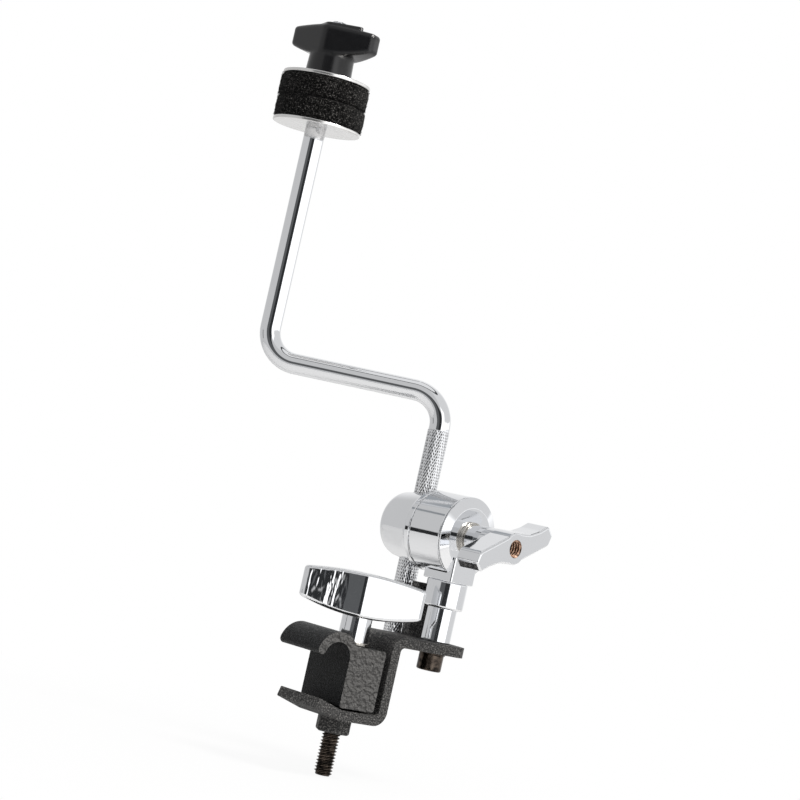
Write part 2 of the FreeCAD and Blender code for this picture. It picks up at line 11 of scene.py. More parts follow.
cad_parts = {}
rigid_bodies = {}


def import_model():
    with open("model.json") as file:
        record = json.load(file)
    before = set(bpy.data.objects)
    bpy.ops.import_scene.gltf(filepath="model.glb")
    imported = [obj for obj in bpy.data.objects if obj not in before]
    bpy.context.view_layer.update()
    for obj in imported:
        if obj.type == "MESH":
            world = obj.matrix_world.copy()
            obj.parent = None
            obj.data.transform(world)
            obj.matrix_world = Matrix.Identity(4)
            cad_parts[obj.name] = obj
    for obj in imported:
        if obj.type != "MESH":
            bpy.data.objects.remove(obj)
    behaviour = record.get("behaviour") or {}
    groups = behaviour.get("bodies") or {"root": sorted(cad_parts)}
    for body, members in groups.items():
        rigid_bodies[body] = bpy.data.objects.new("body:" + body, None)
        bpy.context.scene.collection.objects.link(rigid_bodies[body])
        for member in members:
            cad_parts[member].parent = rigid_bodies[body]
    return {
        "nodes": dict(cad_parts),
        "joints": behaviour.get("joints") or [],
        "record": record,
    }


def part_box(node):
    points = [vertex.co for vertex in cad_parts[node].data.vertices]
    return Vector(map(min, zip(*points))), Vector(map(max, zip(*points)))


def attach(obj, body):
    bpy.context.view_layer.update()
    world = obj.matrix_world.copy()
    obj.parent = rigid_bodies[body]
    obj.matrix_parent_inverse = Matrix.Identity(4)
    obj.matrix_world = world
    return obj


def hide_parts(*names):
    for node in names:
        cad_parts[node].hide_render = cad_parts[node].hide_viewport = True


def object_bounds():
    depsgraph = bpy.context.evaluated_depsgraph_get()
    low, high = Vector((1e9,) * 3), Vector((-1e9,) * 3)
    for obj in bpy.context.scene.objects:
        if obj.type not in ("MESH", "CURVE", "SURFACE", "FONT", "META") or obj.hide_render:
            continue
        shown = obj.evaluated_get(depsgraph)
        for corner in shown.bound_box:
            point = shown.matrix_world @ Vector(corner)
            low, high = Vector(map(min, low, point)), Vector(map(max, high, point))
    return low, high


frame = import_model()
cad_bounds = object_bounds()
nodes = frame["nodes"]
joints = {joint["name"]: joint for joint in frame["joints"]}
random.seed(7)

MM = 0.001
UP = Vector((0, 0, 1))

# ---------------------------------------------------------------- camera and studio
VIEW_AZIMUTH = math.radians(38.37)     # from +Y towards +X, the way the camera looks
VIEW_RISE = math.radians(2.73)
VIEW_ROLL = math.radians(12.65)
VIEW_DISTANCE = 1.1008
VIEW_TARGET = Vector((0.035, 0.020, 0.130))
VIEW_OFFSET = (0.0030, -0.0064)        # how far left of the target the camera is, and below it
LENS = 112.0                           # mm, for a sensor SENSOR_WIDTH mm wide
SENSOR_WIDTH = 36
CLIP = (0.05, 20)                      # nearest and farthest that the camera sees
FLOOR_GAP = 0.0006
FLOOR_RADIUS = 0.6
FLOOR_SIDES = 96
FLOOR_FADE = (0.06, 0.30)              # distances over which the floor's shadow fades
FLOOR_WHITE = (0.93, 1.0)              # share of plain white in the floor at those distances

# The studio, given as tables. Directions are in degrees: side is measured from the direction of
# the camera, positive to its right, and lift from level. Later entries lie over earlier ones.
STUDIO_TONE = 0.62
STUDIO_WALLS = (                       # angle, where it starts, where it is full, tone
    ("side", -135.0, -175.0, 0.90),
    ("side", 14.0, 19.0, 0.76),
    ("side", 130.0, 165.0, 0.95),
    ("lift", 52.0, 75.0, 0.86),
    ("lift", -8.0, -45.0, 0.38),
)
STUDIO_AREAS = (                       # sides and their softness, lifts and theirs, tone, warmth
    ((16.5, 80.0), 1.5, (-34.0, 12.0), 3.0, 1.6, 0.0),        # window
    ((76.0, 128.0), 6.0, (2.8, 12.0), 1.0, 1.3, 0.0),         # curtain beside it
    ((16.5, 44.0), 1.5, (8.0, 26.0), 2.0, 1.5, 0.0),          # glow over it
    ((-37.0, 0.0), 1.5, (-5.5, 17.0), 2.5, 0.11, -0.03),      # dim part of the room
    ((-10.0, 16.5), 2.0, (-5.5, 17.0), 2.5, 0.03, -0.05),     # black part of the room
    # frames, cards and lamp stands that draw the thin dark lines on plated parts
    ((-87.0, -80.0), 1.0, (-12.5, -2.3), 0.5, 0.02, -0.05),
    ((-112.0, -84.0), 1.2, (34.0, 37.5), 0.6, 0.30, -0.05),
    ((-156.0, -116.0), 2.0, (44.0, 51.0), 1.0, 0.40, -0.05),
    ((-178.0, 178.0), 1.6, (61.0, 67.0), 0.8, 0.06, -0.05),
    ((40.0, 120.0), 2.0, (-42.0, -34.0), 1.0, 0.10, -0.05),
    ((-40.0, 30.0), 8.0, (-28.0, -13.0), 4.0, 0.34, -0.05),
)

# ---------------------------------------------------------------- sizes
ROD_RADIUS = 4.75 * MM
ROD_FOOT_CHAMFER = 0.9 * MM
BEND_RADIUS = 14.5 * MM
BEND_STEPS = 28
CORNER_ABOVE_CLAMP = 60 * MM
KNURL_RADIUS = 4.9 * MM
KNURL_DEPTH = 0.17 * MM
KNURL_STARTS = 28                      # peaks round the rod in one row
KNURL_ROW = 1.3 * MM                   # rows of peaks along the rod, each half a step round
KNURL_BELOW_BEND = 1.5 * MM
KNURL_SHOULDER = 0.15 * MM
KNURL_GROOVE_SHADE = (0.65, 0.25)              # shares of the depth where the painted groove shade starts and is full
STUD_CREST = 3.97 * MM
STUD_ROOT = 3.28 * MM
STUD_PITCH = 1.25 * MM
STUD_CHAMFER = 0.8 * MM
STUD_SUNK = 1 * MM                     # how far the stud starts inside the rod

SCREW_RADIUS = 3.97 * MM
SCREW_ROOT = 3.2 * MM
SCREW_PITCH = 25.4 / 18 * MM
SCREW_CHAMFER = 1.1 * MM
SHANK_RUNOUT = 0.6 * MM
SHANK_CHAMFER = 0.5 * MM
SHANK_SIDES = 48
THREAD_SIDES = 40
THREAD_TIP = 0.86                      # least radius of a chamfered tip, as a share of the root

NUT_THREAD_CREST = 3.25 * MM
NUT_THREAD_ROOT = 3.88 * MM
NUT_THREAD_WALL = 3.98 * MM
NUT_THREAD_ENDS = (0.2 * MM, 0.5 * MM)  # gaps to the bolt's end and the nut's front

RATCHET_RADII = (14.0 * MM, 17.6 * MM)
RATCHET_TEETH = 60
RATCHET_SUNK = 0.3 * MM
RATCHET_VALLEY = 0.02 * MM             # above the holder's rim
RATCHET_CLEAR = 0.06 * MM              # below the ring

FELT_BORE = 6.6 * MM
FELT_IN = (0.35 * MM, 0.06 * MM)       # how far the outline is inside the CAD ring, round and up
FELT_ROUNDING = 1.3 * MM
FELT_BULGE = 0.25 * MM
FELT_ROUGHNESS = ((9 * MM, 0.28 * MM), (1.1 * MM, 0.22 * MM), (0.5 * MM, 0.16 * MM))
FELT_PULLED_IN = 0.1 * MM              # makes up for the bulge and roughness
FELT_FIBRES = 2600
FELT_SIDES = 300
FELT_ROWS = 34                         # between the roundings of the rim
FELT_ARC = 6                           # steps of a rounding, and of the bore's wall

# ripples of the clamp knob's face, in metres from its middle
STREAK_ALONG = (-0.0250, -0.0080)
STREAK_HEIGHT = (-0.0040, 0.0165)
STREAK_EDGES = (0.0022, 0.0012)
STREAK_DENSITY = (150.0, 34.0)         # ripples per metre, along and up
STREAK_RELIEF = 0.0016
STREAK_SLOPE = -0.19

view_dir = Vector((math.sin(VIEW_AZIMUTH) * math.cos(VIEW_RISE),
                   math.cos(VIEW_AZIMUTH) * math.cos(VIEW_RISE), math.sin(VIEW_RISE)))
level_right = Vector((math.cos(VIEW_AZIMUTH), -math.sin(VIEW_AZIMUTH), 0))
level_up = level_right.cross(view_dir)
view_right = level_right * math.cos(VIEW_ROLL) + level_up * math.sin(VIEW_ROLL)
view_up = level_up * math.cos(VIEW_ROLL) - level_right * math.sin(VIEW_ROLL)


def make_camera():
    """The photograph's camera, solved from edges, circles and corners of the object."""
    camera = bpy.data.objects.new("camera", bpy.data.cameras.new("camera"))
    camera.data.lens = LENS
    camera.data.sensor_width = SENSOR_WIDTH
    camera.data.clip_start, camera.data.clip_end = CLIP
    turn = Matrix((view_right, view_up, -view_dir)).transposed().to_4x4()
    spot = (VIEW_TARGET - view_dir * VIEW_DISTANCE - view_right * VIEW_OFFSET[0]
            - view_up * VIEW_OFFSET[1])
    camera.matrix_world = Matrix.Translation(spot) @ turn
    bpy.context.scene.collection.objects.link(camera)
    bpy.context.scene.camera = camera


# ---------------------------------------------------------------- node helpers
class Nodes:
    """Short calls for building one node tree."""

    def __init__(self, tree):
        self.tree = tree
        tree.nodes.clear()

    def add(self, kind, inputs=None, **settings):
        node = self.tree.nodes.new(kind)
        for name, value in settings.items():
            setattr(node, name, value)
        for key, value in (inputs or {}).items():
            self.feed(node.inputs[key], value)
        return node

    def feed(self, socket, value):
        if isinstance(value, bpy.types.NodeSocket):
            self.tree.links.new(value, socket)
        else:
            socket.default_value = value

    def math(self, operation, *values):
        node = self.add("ShaderNodeMath", operation=operation)
        for socket, value in zip(node.inputs, values):
            self.feed(socket, value)
        return node.outputs[0]

    def step(self, value, low, high):
        """0 below low, 1 above high, smooth between."""
        node = self.add("ShaderNodeMapRange", {"Value": value, "From Min": low, "From Max": high},
                        interpolation_type="SMOOTHSTEP")
        return node.outputs["Result"]

    def band(self, value, low, high, soft):
        """1 between low and high, 0 outside, smooth over soft on both sides of each."""
        rise = self.step(value, low - soft, low + soft)
        fall = self.step(value, high + soft, high - soft)
        return self.math("MULTIPLY", rise, fall)

    def remap(self, value, reach, levels):
        """Value over a reach turned into a range of levels, and held at its ends."""
        node = self.add("ShaderNodeMapRange", {"Value": value, "From Min": reach[0],
                                               "From Max": reach[1], "To Min": levels[0],
                                               "To Max": levels[1]})
        return node.outputs["Result"]

    def vector(self, operation, *values):
        node = self.add("ShaderNodeVectorMath", dict(enumerate(values)), operation=operation)
        scalar = operation in ("LENGTH", "DOT_PRODUCT")
        return node.outputs["Value" if scalar else "Vector"]

    def part(self, vector, axis):
        return self.add("ShaderNodeSeparateXYZ", {"Vector": vector}).outputs[axis]

    def from_axis(self, where, x, y):
        """Distance from an upright axis."""
        offset = self.vector("SUBTRACT", where, (x, y, 0))
        return self.vector("LENGTH", self.vector("MULTIPLY", offset, (1, 1, 0)))

    def facing(self, axis):
        """How far a face looks along an axis, either way, from 0 to 1."""
        normal = self.add("ShaderNodeNewGeometry").outputs["True Normal"]
        return self.math("ABSOLUTE", self.part(normal, axis))

    def mix(self, factor, first, second):
        node = self.add("ShaderNodeMix", data_type="RGBA")
        self.feed(node.inputs["Factor"], factor)
        self.feed(node.inputs[6], first)
        self.feed(node.inputs[7], second)
        return node.outputs[2]

    def noise(self, where, scale, detail=2.0, rough=0.5):
        node = self.add("ShaderNodeTexNoise", {"Vector": where, "Scale": scale, "Detail": detail,
                                               "Roughness": rough})
        return node.outputs["Fac"]

    def cells(self, where, scale):
        """Distance to the nearest of many scattered points."""
        node = self.add("ShaderNodeTexVoronoi", {"Vector": where, "Scale": scale}, feature="F1")
        return node.outputs["Distance"]

    def bump(self, height, distance, strength=1.0, base=None):
        node = self.add("ShaderNodeBump", {"Height": height, "Distance": distance,
                                           "Strength": strength})
        if base is not None:
            self.feed(node.inputs["Normal"], base)
        return node.outputs["Normal"]


def grey(level, warm=0.0):
    """Grey, or a tone a little warmer or, below 0, cooler than grey."""
    return (level * (1 + warm), level, level * (1 - warm), 1)


def make_world():
    """A studio of light and dark areas for the reflections, plain white to the camera."""
    world = bpy.data.worlds.new("studio")
    bpy.context.scene.world = world
    world.use_nodes = True
    n = Nodes(world.node_tree)
    ray = n.add("ShaderNodeTexCoord").outputs["Generated"]
    heading = n.add("ShaderNodeMapping", {"Vector": ray, "Rotation": (0, 0, VIEW_AZIMUTH)},
                    vector_type="POINT")
    parts = n.add("ShaderNodeSeparateXYZ", {"Vector": heading.outputs["Vector"]})
    right, ahead, rise = parts.outputs
    side = n.math("DEGREES", n.math("ARCTAN2", right, n.math("MULTIPLY", ahead, -1.0)))
    lift = n.math("DEGREES", n.math("ARCSINE", rise))

    level = grey(STUDIO_TONE)
    for angle, start, full, tone in STUDIO_WALLS:
        turned = side if angle == "side" else lift
        level = n.mix(n.step(turned, start, full), level, grey(tone))
    for sides, side_soft, lifts, lift_soft, tone, warm in STUDIO_AREAS:
        area = n.math("MULTIPLY", n.band(side, *sides, side_soft), n.band(lift, *lifts, lift_soft))
        level = n.mix(area, level, grey(tone, warm))

    seen = n.add("ShaderNodeLightPath").outputs["Is Camera Ray"]
    shade = n.mix(seen, level, grey(1.0))
    background = n.add("ShaderNodeBackground", {"Color": shade, "Strength": 1.0})
    out = n.add("ShaderNodeOutputWorld", {"Surface": background.outputs[0]})
    out.is_active_output = True


def make_studio():
    """World, floor and two lamps; the key lamp leaves plated pieces to the world."""
    make_world()
    low, high = cad_bounds
    middle = (Vector(low) + Vector(high)) / 2
    floor_mesh = bpy.data.meshes.new("floor")
    z = low[2] - FLOOR_GAP
    rim = [2 * math.pi * i / FLOOR_SIDES for i in range(FLOOR_SIDES)]
    floor_mesh.from_pydata([(middle.x + FLOOR_RADIUS * math.cos(a),
                             middle.y + FLOOR_RADIUS * math.sin(a), z) for a in rim],
                           [], [range(FLOOR_SIDES)])
    floor = bpy.data.objects.new("floor", floor_mesh)
    bpy.context.scene.collection.objects.link(floor)
    floor_mesh.materials.append(make_floor_material())

    matte = bpy.data.collections.new("matte")
    for piece in list(bpy.data.objects):
        if piece.type == "MESH" and not any("chrome" in m.name for m in piece.data.materials):
            matte.objects.link(piece)
    for name, place, size, power, tint in (
            ("key", level_right * 0.45 - view_dir * 0.26 + UP * 0.86, 0.35, 14.0, (1, 0.98, 0.95)),
            ("fill", level_right * -0.8 - view_dir * 0.3 + UP * 0.3, 0.7, 1.5, (0.95, 0.97, 1))):
        light = bpy.data.objects.new(name, bpy.data.lights.new(name, "AREA"))
        light.data.shape = "DISK"
        light.data.size = size
        light.data.energy = power
        light.data.color = tint
        light.location = middle + place
        light.visible_glossy = name == "key"
        light.rotation_euler = (middle - light.location).to_track_quat("-Z", "Y").to_euler()
        bpy.context.scene.collection.objects.link(light)
        if name == "key":
            light.light_linking.receiver_collection = matte
    bpy.context.scene.view_settings.view_transform = "Standard"


def new_material(name):
    material = bpy.data.materials.new(name)
    material.use_nodes = True
    return material, Nodes(material.node_tree)


def finish_material(n, **inputs):
    """Principled shader and output; keys are socket names with _ for spaces."""
    shader = n.add("ShaderNodeBsdfPrincipled",
                   {key.replace("_", " "): value for key, value in inputs.items()})
    n.add("ShaderNodeOutputMaterial", {"Surface": shader.outputs[0]})


def place_of(n):
    """Place on the object, in metres."""
    return n.add("ShaderNodeTexCoord").outputs["Object"]


def make_floor_material():
    """White to the camera, with a faint shadow near the object."""
    material, n = new_material("floor_paper")
    seen = n.add("ShaderNodeLightPath").outputs["Is Camera Ray"]
    paper = n.add("ShaderNodeBsdfDiffuse", {"Color": grey(0.55)})
    glow = n.add("ShaderNodeEmission", {"Color": grey(1.0), "Strength": 1.0})
    share = n.remap(n.vector("LENGTH", place_of(n)), FLOOR_FADE, FLOOR_WHITE)
    bright = n.add("ShaderNodeMixShader", {0: n.math("MULTIPLY", seen, share),
                                           1: paper.outputs[0], 2: glow.outputs[0]})
    n.add("ShaderNodeOutputMaterial", {"Surface": bright.outputs[0]})
    return material


# ---------------------------------------------------------------- materials
def make_chrome(name, base, waviness, grooved=False):
    """Polished plate with faint waves, hairline scratches and smudges.

    If it is grooved, the knurl's grooves get painted shade; else the clamp knob's face has
    streaks.
    """
    material, n = new_material(name)
    where = place_of(n)
    rough = n.remap(n.noise(where, 60.0, 4.0, 0.6), (0.35, 0.75), (0.035, 0.10))
    waves = n.bump(n.noise(where, 90.0, 1.5), 0.001, waviness)
    if not grooved:
        waves = cast_streaks(n, where, waves)
    stretched = n.add("ShaderNodeMapping", {"Vector": where, "Scale": (900, 900, 60)})
    hairline = n.noise(stretched.outputs[0], 1.0, 2.0, 0.6)
    scratches = n.bump(hairline, 0.00001, 0.25, waves)
    tint = n.mix(n.noise(where, 25.0, 3.0), base, tuple(c * 0.93 for c in base[:3]) + (1,))
    if grooved:
        # painted shade: the knurl's groove bottoms are darkened to stand for the shade that falls
        # in them
        tint = n.mix(knurl_groove_shade(n, where), tint, grey(0.10, 0.05))
    finish_material(n, Base_Color=tint, Metallic=1.0, Roughness=rough, Normal=scratches)
    return material


def knurl_groove_shade(n, where):
    """1 in the bottoms of the knurl, where shade is painted, else 0."""
    foot = joints["rod_turn"]["pos_m"]
    low = KNURL_RADIUS - KNURL_DEPTH
    deep = n.step(n.from_axis(where, foot[0], foot[1]),
                  *(low + KNURL_DEPTH * share for share in KNURL_GROOVE_SHADE))
    return n.math("MULTIPLY", deep, n.math("LESS_THAN", n.part(where, "Z"), knurl_end()))


def knurl_end():
    """Height at which the knurled leg turns plain, below the lower bend."""
    return joints["rod_turn"]["pos_m"][2] + CORNER_ABOVE_CLAMP - BEND_RADIUS - KNURL_BELOW_BEND


def cast_streaks(n, where, base):
    """Upright ripples on a slope, on the left half of the clamp knob's face only."""
    low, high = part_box("clamp_knob")
    from_middle = n.vector("SUBTRACT", where, tuple((low + high) / 2))
    along = n.vector("DOT_PRODUCT", from_middle, tuple(level_right))
    height = n.part(from_middle, "Z")
    inside = n.math("MULTIPLY", n.band(along, *STREAK_ALONG, STREAK_EDGES[0]),
                    n.band(height, *STREAK_HEIGHT, STREAK_EDGES[1]))
    inside = n.math("MULTIPLY", inside, n.step(n.facing("Z"), 0.6, 0.4))
    spread = n.add("ShaderNodeCombineXYZ", {"X": n.math("MULTIPLY", along, STREAK_DENSITY[0]),
                                            "Y": n.math("MULTIPLY", height, STREAK_DENSITY[1])})
    ripples = n.noise(spread.outputs[0], 1.0, 3.0, 0.5)
    relief = n.math("ADD", n.math("MULTIPLY", ripples, STREAK_RELIEF),
                    n.math("MULTIPLY", along, STREAK_SLOPE))
    return n.bump(relief, 1.0, inside, base)


def make_powder_coat():
    """Sand-textured black powder coat: fine grains that catch the light."""
    material, n = new_material("powder_coat")
    where = place_of(n)
    grain = n.noise(where, 1500.0, 2.0, 0.6)
    coarse = n.noise(where, 600.0, 2.0)
    height = n.math("ADD", grain, n.math("MULTIPLY", coarse, 0.6))
    fleck = n.step(grain, 0.50, 0.62)
    colour = n.mix(fleck, grey(0.004, 0.02), grey(0.135, 0.04))
    colour = n.mix(n.math("MULTIPLY", n.step(coarse, 0.45, 0.7), 0.5), colour, grey(0.035, 0.02))
    finish_material(n, Base_Color=colour, Roughness=n.remap(grain, (0.0, 1.0), (0.75, 0.45)),
                    Normal=n.bump(height, 0.0007))
    return material


def make_hook_coat():
    """Cut faces dimpled, with a lighter tone that paints the light they catch; drawn faces dark
    and satin.
    """
    material, n = new_material("hook_coat")
    where = place_of(n)
    # faces that look along Y: the dimpled cut faces, which are also the faces given a painted
    # highlight tone
    cut = n.step(n.facing("Y"), 0.7, 0.9)
    dimple = n.noise(where, 560.0, 1.5, 0.5)
    grain = n.noise(where, 1600.0, 2.0, 0.6)
    # painted highlight: a lighter tone on the faces that look along Y stands for the light they
    # catch; the dimples below are the real texture
    hammered_lit_tone = n.mix(grain, grey(0.066, 0.02), grey(0.098, 0.02))
    satin = n.mix(n.step(grain, 0.5, 0.66), grey(0.0015, -0.10), grey(0.030, -0.06))
    dimpled = n.bump(grain, 0.00012, 0.8, n.bump(dimple, 0.0036))
    grainy = n.bump(grain, 0.0010, 0.9)
    normal = n.add("ShaderNodeMix", {"Factor": cut, 4: grainy, 5: dimpled}, data_type="VECTOR")
    finish_material(n, Base_Color=n.mix(cut, satin, hammered_lit_tone),
                    Roughness=n.remap(cut, (0.0, 1.0), (0.40, 0.48)),
                    Specular_IOR_Level=0.16, Normal=normal.outputs[1])
    return material


def make_steel(name, dark, light, scale, roughness):
    """Bare, blackened or plated steel with a mottled tone and fine machining marks."""
    material, n = new_material(name)
    where = place_of(n)
    mottle = n.noise(where, scale, 4.0, 0.6)
    marks = n.noise(where, scale * 12)
    finish_material(n, Base_Color=n.mix(n.step(mottle, 0.35, 0.68), dark, light), Metallic=1.0,
                    Roughness=n.remap(mottle, (0.3, 0.7), roughness),
                    Normal=n.bump(marks, 0.00004, 0.5))
    return material


def make_washer_steel():
    """Satin plate with concentric turning marks about the cymbal seat's axis."""
    material, n = new_material("washer_steel")
    where = place_of(n)
    low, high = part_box("lower_washer")
    centre = (low + high) / 2
    rings = n.math("MULTIPLY", n.from_axis(where, centre.x, centre.y), 5200.0)
    turning = n.add("ShaderNodeTexNoise", {"W": rings, "Scale": 1.0, "Detail": 2.0},
                    noise_dimensions="1D")
    mottle = n.noise(where, 160.0, 4.0, 0.6)
    finish_material(n, Base_Color=n.mix(mottle, grey(0.70, 0.01), grey(0.80, 0.01)),
                    Metallic=1.0, Roughness=n.remap(mottle, (0.0, 1.0), (0.16, 0.34)),
                    Normal=n.bump(turning.outputs["Fac"], 0.00003, 0.5))
    return material


def make_felt():
    """Pressed black wool: dark nap with paler stray fibres."""
    material, n = new_material("felt")
    where = place_of(n)
    clump = n.noise(where, 1200.0, 4.0, 0.75)
    fibre = n.cells(where, 2600.0)
    fleck = n.math("MULTIPLY", n.step(clump, 0.47, 0.66), n.step(fibre, 0.62, 0.15))
    colour = n.mix(fleck, grey(0.002), grey(0.22, 0.04))
    height = n.math("ADD", clump, n.math("MULTIPLY", fibre, 0.5))
    finish_material(n, Base_Color=colour, Roughness=0.95, Sheen_Weight=0.04,
                    Sheen_Roughness=0.4, Specular_IOR_Level=0.04,
                    Normal=n.bump(height, 0.0006))
    return material


def make_plastic(name, base, roughness, scale, softened=0.0):
    """Moulded plastic: faint texture, flow mottling and edges softened over a distance."""
    material, n = new_material(name)
    where = place_of(n)
    flow = n.noise(where, scale, 4.0, 0.6)
    fine = n.noise(where, scale * 30)
    lighter = tuple(min(1.0, c * 1.5) for c in base[:3]) + (1,)
    soft = n.add("ShaderNodeBevel", {"Radius": softened}, samples=6).outputs[0]
    finish_material(n, Base_Color=n.mix(flow, base, lighter),
                    Roughness=n.remap(flow, (0.3, 0.7), roughness),
                    Normal=n.bump(fine, 0.00003, 0.6, soft))
    return material


PLATE = (0.84, 0.85, 0.87, 1)
materials = {
    "powder_coat": make_powder_coat(),
    "hook_coat": make_hook_coat(),
    "black_steel": make_steel("black_steel", (0.014, 0.012, 0.011, 1), (0.120, 0.096, 0.078, 1),
                              320.0, (0.15, 0.28)),
    "bright_steel": make_steel("bright_steel", (0.42, 0.40, 0.37, 1), (0.62, 0.60, 0.56, 1),
                               220.0, (0.2, 0.36)),
    "chrome": make_chrome("chrome", PLATE, 0.05),
    "rod_chrome": make_chrome("rod_chrome", PLATE, 0.02, grooved=True),
    "bush_brass": make_steel("bush_brass", (0.50, 0.34, 0.13, 1), (0.70, 0.52, 0.24, 1),
                             300.0, (0.25, 0.4)),
    "washer_steel": make_washer_steel(),
    "nylon": make_plastic("nylon", (0.02, 0.02, 0.02, 1), (0.45, 0.6), 150.0),
    "felt": make_felt(),
    "black_plastic": make_plastic("black_plastic", (0.0025, 0.0025, 0.003, 1), (0.13, 0.20),
                                  120.0, softened=2.2 * MM),
}
copper_thread = make_steel("copper_thread", (0.16, 0.08, 0.05, 1), (0.60, 0.40, 0.29, 1),
                           900.0, (0.18, 0.35))

for entry in frame["record"]["subparts"]:
    mesh = nodes[entry["node"]].data
    mesh.materials.clear()
    mesh.materials.append(materials[entry["material_slot"]])


# ---------------------------------------------------------------- mesh helpers
def link(name, bm, body, slot, smooth=True, replaces=(), material=None):
    """Turn a bmesh into a piece that rides on a body and takes a slot's finish.

    With smooth set to None, the faces keep the shading that they were made with.
    """
    bmesh.ops.recalc_face_normals(bm, faces=bm.faces)
    mesh = bpy.data.meshes.new(name)
    if smooth is not None:
        for face in bm.faces:
            face.smooth = smooth
    bm.to_mesh(mesh)
    bm.free()
    mesh.materials.append(material or materials[slot])
    piece = bpy.data.objects.new(name, mesh)
    bpy.context.scene.collection.objects.link(piece)
    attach(piece, body)
    if replaces:
        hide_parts(*replaces)
    return piece


def add_loops(bm, loops, close_ends=True):
    """Skin a list of rings, each a list of points, and cap both ends."""
    rings = [[bm.verts.new(point) for point in loop] for loop in loops]
    for lower, upper in zip(rings, rings[1:]):
        count = len(lower)
        for i in range(count):
            j = (i + 1) % count
            bm.faces.new((lower[i], lower[j], upper[j], upper[i]))
    if close_ends:
        bm.faces.new(list(reversed(rings[0])))
        bm.faces.new(rings[-1])


def threaded(place, low, high, major, minor, pitch, wall=None, chamfer=0.0):
    """Bmesh of a thread between two heights along the Z axis of a place.

    It is a bolt, or, if a wall's radius is given, a liner with that wall around it.
    """
    profile = ((0.0, minor), (0.30, major), (0.43, major), (0.73, minor))   # share of a turn
    per_turn = len(profile)
    bm = bmesh.new()
    grid = []
    for row in range(per_turn * (math.ceil((high - low) / pitch) + 3)):
        turn, part = divmod(row, per_turn)
        share, radius = profile[part]
        ring = []
        for i in range(THREAD_SIDES):
            angle = 2 * math.pi * i / THREAD_SIDES
            z = low - 1.5 * pitch + pitch * (turn + share + i / THREAD_SIDES)
            limit = major
            if chamfer:
                limit = major - chamfer + max(0.0, min(z - low, high - z))
            r = radius if wall else min(radius, max(limit, minor * THREAD_TIP))
            ring.append(bm.verts.new((r * math.cos(angle), r * math.sin(angle), z)))
        grid.append(ring)
    for row in range(len(grid) - per_turn - 1):
        for i in range(THREAD_SIDES):
            if i + 1 < THREAD_SIDES:
                a, b, c, d = grid[row][i], grid[row][i + 1], grid[row + 1][i + 1], grid[row + 1][i]
            else:           # the last column joins the first one a turn later
                a, b = grid[row][i], grid[row + per_turn][0]
                c, d = grid[row + per_turn + 1][0], grid[row + 1][i]
            bm.faces.new((a, b, c, d))
    for height, normal in ((low, (0, 0, -1)), (high, (0, 0, 1))):
        cut = bmesh.ops.bisect_plane(bm, geom=bm.verts[:] + bm.edges[:] + bm.faces[:],
                                     plane_co=(0, 0, height), plane_no=normal, clear_outer=True)
        if not wall:
            rim = [g for g in cut["geom_cut"] if isinstance(g, bmesh.types.BMEdge)]
            bmesh.ops.edgeloop_fill(bm, edges=rim)
    if wall:
        close_liner(bm, wall)
        bm = in_fixed_order(bm)
    bm.transform(place)
    return bm


def close_liner(bm, wall):
    """Give a thread sheet an outer wall, so that it is a closed tube."""
    bmesh.ops.remove_doubles(bm, verts=bm.verts, dist=1e-7)
    rims = [e for e in bm.edges if e.is_boundary]
    new = bmesh.ops.extrude_edge_only(bm, edges=rims)["geom"]
    for vert in (g for g in new if isinstance(g, bmesh.types.BMVert)):
        reach = math.hypot(vert.co.x, vert.co.y)
        vert.co.x *= wall / reach
        vert.co.y *= wall / reach
    bmesh.ops.bridge_loops(bm, edges=[e for e in bm.edges if e.is_boundary])


def in_fixed_order(bm):
    """The same mesh with sorted faces, since bridge_loops orders them anew on each run."""
    bmesh.ops.recalc_face_normals(bm, faces=bm.faces)
    bm.verts.index_update()
    corners = []
    for face in bm.faces:
        ring = [vert.index for vert in face.verts]
        first = ring.index(min(ring))
        corners.append(ring[first:] + ring[:first])
    copy = bmesh.new()
    verts = [copy.verts.new(vert.co) for vert in bm.verts]
    for ring in sorted(corners):
        copy.faces.new([verts[i] for i in ring])
    bm.free()
    return copy


# ---------------------------------------------------------------- rod
def rod_points():
    """Foot of the rod, its two corners and the seat."""
    foot = Vector(joints["rod_turn"]["pos_m"])
    seat = Vector(joints["cymbal_nut_spin"]["pos_m"])
    corner = foot.copy()
    corner.z += CORNER_ABOVE_CLAMP
    foot.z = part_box("z_rod")[0].z
    return foot, corner, Vector((seat.x, seat.y, corner.z)), seat


